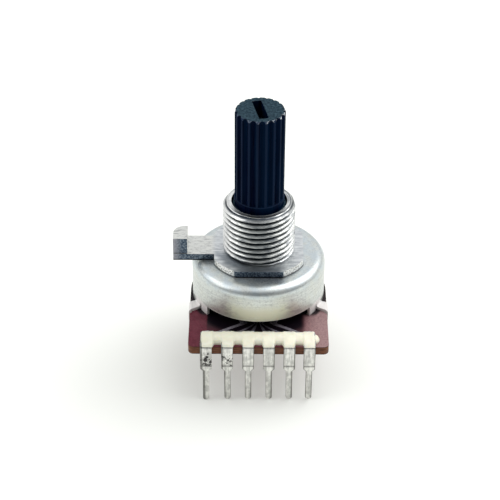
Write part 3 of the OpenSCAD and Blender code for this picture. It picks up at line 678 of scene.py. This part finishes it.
def resin_profile(x):
    """Points of the resin's section at x, from its rear foot over the top to its front foot."""
    nearest = min(abs(x - (i - 2.5) * PIN_PITCH) for i in range(6))
    head = 1 - eased(nearest, HEAD_HALF - 0.1, HEAD_HALF + 0.12)
    points = []
    count = (len(RESIN_GAP) - 1) * RESIN_SMOOTH
    for k in range(count + 1):
        i = min(k // RESIN_SMOOTH, len(RESIN_GAP) - 2)
        part = k / RESIN_SMOOTH - i
        share = head if k > count / 2 else head * (1 - 0.6 * k / count)
        y, z = between(between(RESIN_GAP[i], RESIN_GAP[i + 1], part),
                       between(RESIN_HEAD[i], RESIN_HEAD[i + 1], part), share)
        sway = noise.noise(Vector((x * 0.9, y * 0.9, 3.1))) * 0.05
        sway += noise.noise(Vector((x * 3, y * 2, 7.7))) * 0.02
        y += sway * (0.4 if 0 < k < count else 1.2)
        z += sway if 0 < k < count else sway * 0.5 * head
        points.append([y, z])
    left, right = RESIN_ENDS
    end = min(x - left, right - x)
    if end < RESIN_END_ROUND:
        low = 1 - math.sqrt(max(1 - (1 - end / RESIN_END_ROUND) ** 2, 0))
        for point in points:
            point[0] += (RESIN_MIDDLE - point[0]) * 0.12 * low
            point[1] += (RESIN_FOOT - point[1]) * low * 0.9
    return points


def make_resin():
    """Lumpy resin strip that runs over the heads and down in front of the bends."""
    bm = bmesh.new()
    left, right = RESIN_ENDS
    rows = []
    for s in range(RESIN_STEPS + 1):
        x = left + (right - left) * s / RESIN_STEPS
        rows.append([bm.verts.new((x, -y, z)) for y, z in resin_profile(x)])
    for here, there in zip(rows, rows[1:]):
        for k in range(len(here) - 1):
            bm.faces.new((here[k], there[k], there[k + 1], here[k + 1]))
        bm.faces.new((here[0], here[-1], there[-1], there[0]))
    for row in (rows[0], rows[-1]):
        bm.faces.new(row)
    run = bmesh.ops.create_uvsphere(bm, u_segments=24, v_segments=12, radius=1)
    for v in run["verts"]:
        v.co = v.co * RUN_RADII + RUN_PLACE
        v.co.x += 0.12 * noise.noise(v.co * 1.5)
        v.co.z = max(v.co.z, RESIN_FOOT)
    piece = new_piece("resin_bead", bm, "resin", "housing", "resin_strip")
    smooth(piece, 50)


# Terminals

# Small sets that the terminals took when they were bent: shift at the wafer, shift at the tip and
# extra length
TERMINAL_SETS = ((-0.17, -0.2, 0.26), (-0.1, -0.02, 0.16), (0.0, 0.02, 0.1),
                 (0.03, 0.09, 0.08), (0.04, 0.08, 0.08), (0.0, 0.0, 0.04))
TERMINAL_EDGE = 0.07


def make_terminals():
    """Terminals with rounded edges, each set a little out of line as in a hand-fitted row."""
    for i, (top, tip, longer) in enumerate(TERMINAL_SETS, 1):
        bm = node_bmesh(f"terminal_{i}")
        for v in bm.verts:
            down = min(max((WAFER_TOP - v.co.z) / (WAFER_TOP - PIN_TIP), 0), 1)
            v.co.x += top + (tip - top) * down
            v.co.z -= longer * eased(down, 0.5, 1)
        round_edges(bm, TERMINAL_EDGE, segments=3)
        piece = new_piece(f"bent_terminal_{i}", bm, "tinned_metal", "housing", f"terminal_{i}")
        smooth(piece, 35)


# Shaft

SHAFT_SWELL = 1.03
SHAFT_EDGE = 0.035


def make_shaft():
    """The shaft, with its knurled seat a little fuller, as the moulding is over the file's plain size."""
    bm = node_bmesh("shaft")
    for v in bm.verts:
        if v.co.z > BARREL_TOP + 0.3:
            v.co.x *= SHAFT_SWELL
            v.co.y *= SHAFT_SWELL
    piece = new_piece("knurled_shaft", bm, "shaft_plastic", "rotor_body", "shaft")
    soften(piece, SHAFT_EDGE)


# Printed tracks, with leads that fan out flatter than straight lines from the rings to the rivets

TRACKS = ("outer_resistive_track", "outer_collector_track",
          "inner_collector_track", "inner_resistive_track")
LEAD_FOOT = -9.6
LEAD_TURN = -7.2
LEAD_BACK = 2.0
LEAD_CUTS = (-9.0, -8.4, -7.8, -7.2)
# Sideways run per millimetre: its rise near the middle, its most, and how it falls off past a width
LEAD_RISE = 0.33
LEAD_MOST = 1.05
LEAD_FALL = 0.1
LEAD_WIDE = 3.2
LEAD_LIMIT = 0.8


def lead_shift(x, y):
    """How far a point of a lead moves towards the middle."""
    wide = abs(x)
    slope = min(LEAD_RISE * wide, LEAD_MOST - LEAD_FALL * max(wide - LEAD_WIDE, 0))
    run = min(max(y - LEAD_FOOT, 0), LEAD_TURN - LEAD_FOOT)
    back = min(max((y - LEAD_TURN) / LEAD_BACK, 0), 1)
    return -math.copysign(min(slope * run, wide * LEAD_LIMIT), x) * (1 - back)


def make_tracks():
    """Printed tracks, with their leads spread flatter over the wafer."""
    for name in TRACKS:
        bm = node_bmesh(name)
        for y in LEAD_CUTS:
            bmesh.ops.bisect_plane(bm, geom=bm.verts[:] + bm.edges[:] + bm.faces[:],
                                   plane_co=(0, y, 0), plane_no=(0, 1, 0))
        for v in bm.verts:
            if v.co.y < LEAD_TURN + LEAD_BACK:
                v.co.x += lead_shift(v.co.x, v.co.y)
        piece = new_piece(f"fanned_{name}", bm, "printed_track", "housing", name)
        smooth(piece, 30)


# Widths of the small bevels that break the edges of the solids that the camera sees close up
EDGE_WIDTHS = {"cover": 0.06, "wafer": 0.05}


def soften_edges():
    for name, width in EDGE_WIDTHS.items():
        soften(NODES[name], width)


# Studio

FLOOR_M = 6
FLOOR_Z = PIN_TIP - 0.28
FLOOR_COLOUR = (0.72, 0.73, 0.705, 1)
FLOOR_SHADOW = (0.56, 0.57, 0.55, 1)
FLOOR_GLOW = (0.292, 0.292, 0.273, 1)
# Painted shadow: soft dimming of the paper to the left and in front of the object
SHADOW_PLACE = (-9.5, -9, 0)
SHADOW_STRETCH = (1 / 33, 1 / 23, 0)
# Brightness of the room by height of the direction, from the floor's edge to straight overhead
ROOM_FRONT = ((0.0, 0.22), (0.3, 0.26), (0.6, 0.5), (0.8, 0.95), (1.0, 0.95))
ROOM_BACK = ((0.0, 0.6), (0.3, 0.8), (0.6, 0.95), (0.8, 1.0), (1.0, 0.95))
ROOM_TINT = (0.98, 0.99, 1.0)
# Dark shape of whoever stands in front, high enough to look down on the object
STANDER_TOWARDS = (0, -math.cos(math.radians(33)), math.sin(math.radians(33)))
STANDER_COLOUR = (0.035, 0.045, 0.06, 1)
STANDER_CORE = math.cos(math.radians(15))
STANDER_EDGE = math.cos(math.radians(30))
# Rectangular lamps: place and width in metres, and brightness against white paper's
LAMPS = {
    "key": ((0.243, 0.088, 0.369), 0.46, 1.8),
    "left": ((-0.31, -0.055, 0.246), 0.29, 1.5),
}


def add_floor():
    """Pale floor, white to the camera and in reflections, with the object's shadow kept and a soft painted
    shadow beside it.
    """
    bpy.ops.mesh.primitive_plane_add(size=FLOOR_M, location=(0, 0, FLOOR_Z * MM))
    floor = bpy.context.object
    floor.name = "floor"
    material = bpy.data.materials.new("floor")
    material.use_nodes = True
    nodes = Nodes(material.node_tree)
    nodes.tree.nodes.clear()
    rays = nodes.add("ShaderNodeLightPath").outputs
    seen = nodes.calc("MAXIMUM", rays["Is Camera Ray"], rays["Is Glossy Ray"])
    seen = nodes.calc("MAXIMUM", seen, rays["Is Transmission Ray"])
    place = nodes.vector("SCALE", nodes.add("ShaderNodeTexCoord").outputs["Object"], scale=1 / MM)
    place = nodes.vector("MULTIPLY", nodes.vector("SUBTRACT", place, SHADOW_PLACE), SHADOW_STRETCH)
    # Painted shadow on the floor round that place
    near_shade = nodes.step(nodes.vector("LENGTH", place), 1.0, 0.1)
    diffuse = nodes.add("ShaderNodeBsdfDiffuse", {"Color": nodes.mix(near_shade, FLOOR_COLOUR, FLOOR_SHADOW)})
    glow = nodes.add("ShaderNodeEmission", {"Color": FLOOR_GLOW, "Strength": seen})
    both = nodes.add("ShaderNodeAddShader", {0: diffuse.outputs[0], 1: glow.outputs[0]})
    nodes.add("ShaderNodeOutputMaterial", {"Surface": both.outputs[0]})
    floor.data.materials.append(material)


def room_ramp(nodes, height, stops):
    """Colour of the room by the height of the direction."""
    ramp = nodes.add("ShaderNodeValToRGB", {0: height})
    points = ramp.color_ramp.elements
    while len(points) < len(stops):
        points.new(0.5)
    for point, (place, level) in zip(points, stops):
        point.position = place
        point.color = tuple(level * share for share in ROOM_TINT) + (1,)
    return ramp.outputs[0]


def add_world():
    """Plain pale room, brighter above, darker low in front, with one dark shape there."""
    world = bpy.data.worlds.new("room")
    bpy.context.scene.world = world
    world.use_nodes = True
    nodes = Nodes(world.node_tree)
    direction = nodes.add("ShaderNodeTexCoord").outputs["Generated"]
    _, depth, height = nodes.add("ShaderNodeSeparateXYZ", {0: direction}).outputs
    room = nodes.mix(nodes.step(depth, -0.5, 0.1), room_ramp(nodes, height, ROOM_FRONT),
                     room_ramp(nodes, height, ROOM_BACK))
    towards = nodes.vector("DOT_PRODUCT", direction, STANDER_TOWARDS)
    stander = nodes.step(towards, STANDER_EDGE, STANDER_CORE)
    background = nodes.tree.nodes["Background"]
    nodes.feed(background.inputs["Color"], nodes.mix(stander, room, STANDER_COLOUR))


def add_lights():
    for name, (place, width, level) in LAMPS.items():
        data = bpy.data.lights.new(name, "AREA")
        data.shape = "RECTANGLE"
        data.size = data.size_y = width
        data.energy = level * math.pi * width * width
        lamp = bpy.data.objects.new(name, data)
        bpy.context.scene.collection.objects.link(lamp)
        lamp.location = place
        lamp.rotation_mode = "QUATERNION"
        lamp.rotation_quaternion = (-Vector(place)).to_track_quat("-Z", "Y")


add_camera()
dress_nodes()
make_bushing()
make_resin()
make_terminals()
make_shaft()
make_tracks()
soften_edges()
add_floor()
add_world()
add_lights()
bpy.context.scene.view_settings.view_transform = "Standard"
